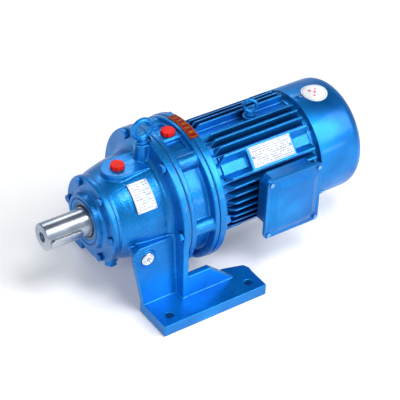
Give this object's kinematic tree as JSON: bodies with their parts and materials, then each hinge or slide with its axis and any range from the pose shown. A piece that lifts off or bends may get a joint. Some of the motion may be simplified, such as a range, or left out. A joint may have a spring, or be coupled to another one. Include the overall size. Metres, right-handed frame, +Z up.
{
  "type": "foot-mounted cycloidal gearmotor",
  "caption": "Foot-mounted inline cycloidal gearmotor: keyed output shaft, pin-wheel reduction stage inside a flanged casing, finned motor with terminal box and fan cowl.",
  "frame": {"origin": "centre of the rectangle of foot bolt holes, on the plane the feet stand on", "axes": "+X out of the output shaft, +Y to the side of the motor's terminal box, +Z up"},
  "size_m": [0.559, 0.324, 0.2982],
  "materials": {
    "casing_paint": "gloss",
    "painted_fastener": "gloss",
    "gasket": "matt",
    "seal_steel": "satin",
    "seal_rubber": "matt",
    "bearing_steel": "polished",
    "shaft_steel": "ground",
    "key_steel": "satin",
    "gear_steel": "ground",
    "lamination": "matt",
    "winding": "varnished",
    "fan_plastic": "matt",
    "screw_steel": "zinc plated",
    "black_plastic": "matt",
    "red_plastic": "gloss",
    "sight_glass": "clear",
    "label": "satin"
  },
  "bodies": {
    "casing": {"base_housing": "casing_paint", "output_end_cover": "casing_paint", "end_cover_gasket": "gasket", "output_oil_seal": "seal_steel", "end_cover_bolts": "painted_fastener", "front_bearing_outer": "bearing_steel", "rear_bearing_outer": "bearing_steel", "ring_pins": "gear_steel", "ring_pin_sleeves": "gear_steel", "pin_gear_housing": "casing_paint", "housing_gasket_front": "gasket", "housing_gasket_rear": "gasket", "motor_flange": "casing_paint", "input_oil_seal": "seal_rubber", "housing_bolts": "painted_fastener", "housing_nuts": "painted_fastener", "motor_frame": "casing_paint", "stator_core": "lamination", "stator_windings": "winding", "drive_bearing_outer": "bearing_steel", "fan_bearing_outer": "bearing_steel", "rear_endshield": "casing_paint", "fan_cowl": "casing_paint", "cowl_screws": "screw_steel", "terminal_box": "casing_paint", "terminal_box_gasket": "gasket", "terminal_box_cover": "casing_paint", "box_cover_screws": "screw_steel", "terminal_block": "black_plastic", "cable_entry_plug": "black_plastic", "reducer_eyebolt": "casing_paint", "motor_eyebolt": "casing_paint", "filler_plug": "red_plastic", "breather_plug": "red_plastic", "sight_glass": "sight_glass", "drain_plug": "painted_fastener", "reducer_nameplate": "label", "motor_nameplate": "label"},
    "rotor": {"rotor_shaft": "shaft_steel", "rotor_core": "lamination", "eccentric_sleeve": "bearing_steel", "pilot_bearing_inner": "bearing_steel", "drive_bearing_inner": "bearing_steel", "fan_bearing_inner": "bearing_steel", "fan": "fan_plastic"},
    "output": {"output_shaft": "shaft_steel", "output_key": "key_steel", "output_pins": "gear_steel", "output_rollers": "gear_steel", "front_bearing_inner": "bearing_steel", "rear_bearing_inner": "bearing_steel", "pilot_bearing_outer": "bearing_steel", "disc_spacer_ring": "gear_steel"},
    "disc_a": {"cycloid_disc_a": "gear_steel"},
    "disc_b": {"cycloid_disc_b": "gear_steel"},
    "output_balls": {"output_bearing_balls": "bearing_steel"},
    "motor_balls": {"motor_bearing_balls": "bearing_steel"},
    "pilot_balls": {"pilot_bearing_balls": "bearing_steel"},
    "rollers_a": {"eccentric_rollers_a": "bearing_steel"},
    "rollers_b": {"eccentric_rollers_b": "bearing_steel"}
  },
  "joints": [
    {"name": "motor_spin", "type": "hinge", "parent": "casing", "child": "rotor", "pos_m": [0, 0, 0.14], "axis": [1, 0, 0], "continuous": true},
    {"name": "output_spin", "type": "hinge", "parent": "casing", "child": "output", "pos_m": [0, 0, 0.14], "axis": [1, 0, 0], "continuous": true},
    {"name": "disc_a_spin", "type": "hinge", "parent": "rotor", "child": "disc_a", "pos_m": [0, 0.0025, 0.14], "axis": [1, 0, 0], "continuous": true},
    {"name": "disc_b_spin", "type": "hinge", "parent": "rotor", "child": "disc_b", "pos_m": [0, -0.0025, 0.14], "axis": [1, 0, 0], "continuous": true},
    {"name": "output_balls_spin", "type": "hinge", "parent": "casing", "child": "output_balls", "pos_m": [0, 0, 0.14], "axis": [1, 0, 0], "continuous": true},
    {"name": "motor_balls_spin", "type": "hinge", "parent": "casing", "child": "motor_balls", "pos_m": [0, 0, 0.14], "axis": [1, 0, 0], "continuous": true},
    {"name": "pilot_balls_spin", "type": "hinge", "parent": "casing", "child": "pilot_balls", "pos_m": [0, 0, 0.14], "axis": [1, 0, 0], "continuous": true},
    {"name": "rollers_a_spin", "type": "hinge", "parent": "rotor", "child": "rollers_a", "pos_m": [0, 0.0025, 0.14], "axis": [1, 0, 0], "continuous": true},
    {"name": "rollers_b_spin", "type": "hinge", "parent": "rotor", "child": "rollers_b", "pos_m": [0, -0.0025, 0.14], "axis": [1, 0, 0], "continuous": true}
  ],
  "couplings": [
    {"joint": "output_spin", "follows": "motor_spin", "ratio": -0.058824},
    {"joint": "disc_a_spin", "follows": "motor_spin", "ratio": -1.0588},
    {"joint": "disc_b_spin", "follows": "motor_spin", "ratio": -1.0588},
    {"joint": "output_balls_spin", "follows": "motor_spin", "ratio": -0.024076},
    {"joint": "motor_balls_spin", "follows": "motor_spin", "ratio": 0.3965},
    {"joint": "pilot_balls_spin", "follows": "motor_spin", "ratio": 0.3451},
    {"joint": "rollers_a_spin", "follows": "motor_spin", "ratio": -0.6213},
    {"joint": "rollers_b_spin", "follows": "motor_spin", "ratio": -0.6213}
  ]
}
